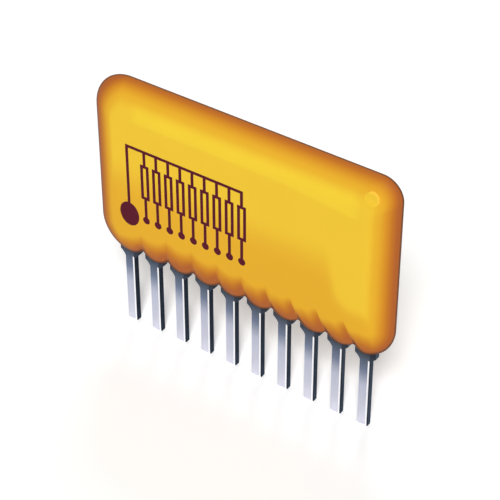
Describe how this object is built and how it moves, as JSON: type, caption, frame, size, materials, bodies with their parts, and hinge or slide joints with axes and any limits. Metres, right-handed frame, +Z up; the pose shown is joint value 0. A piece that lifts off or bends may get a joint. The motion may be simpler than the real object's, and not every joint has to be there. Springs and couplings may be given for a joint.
{
  "type": "resistor network",
  "caption": "Single-in-line resistor network: a ceramic plate with printed resistors and a row of clip leads, dipped in a glossy golden coat that hangs in a lobe round each lead.",
  "frame": {"origin": "middle of the pin row at the necks of the leads, where the part seats on a board", "axes": "+X along the pin row away from pin 1, -Y out of the marked front, +Z up, away from the board"},
  "size_m": [0.0279, 0.0026, 0.0241],
  "materials": {
    "coat": "dipped epoxy, glossy golden yellow",
    "ceramic": "fired alumina, matt white",
    "conductor_film": "fired silver alloy film, satin",
    "resistor_film": "fired oxide film, dull black",
    "glaze": "fired glass film, green",
    "solder": "solder, bright satin",
    "tinned_lead": "bright tin plate on copper alloy"
  },
  "bodies": {
    "root": {"coating": "coat", "ceramic_plate": "ceramic", "common_bus": "conductor_film", "glaze_film": "glaze", "pad_2": "conductor_film", "pad_3": "conductor_film", "pad_4": "conductor_film", "pad_5": "conductor_film", "pad_6": "conductor_film", "pad_7": "conductor_film", "pad_8": "conductor_film", "pad_9": "conductor_film", "pad_10": "conductor_film", "resistor_2": "resistor_film", "resistor_3": "resistor_film", "resistor_4": "resistor_film", "resistor_5": "resistor_film", "resistor_6": "resistor_film", "resistor_7": "resistor_film", "resistor_8": "resistor_film", "resistor_9": "resistor_film", "resistor_10": "resistor_film", "solder_1": "solder", "solder_2": "solder", "solder_3": "solder", "solder_4": "solder", "solder_5": "solder", "solder_6": "solder", "solder_7": "solder", "solder_8": "solder", "solder_9": "solder", "solder_10": "solder", "lead_1": "tinned_lead", "lead_2": "tinned_lead", "lead_3": "tinned_lead", "lead_4": "tinned_lead", "lead_5": "tinned_lead", "lead_6": "tinned_lead", "lead_7": "tinned_lead", "lead_8": "tinned_lead", "lead_9": "tinned_lead", "lead_10": "tinned_lead"}
  },
  "joints": []
}
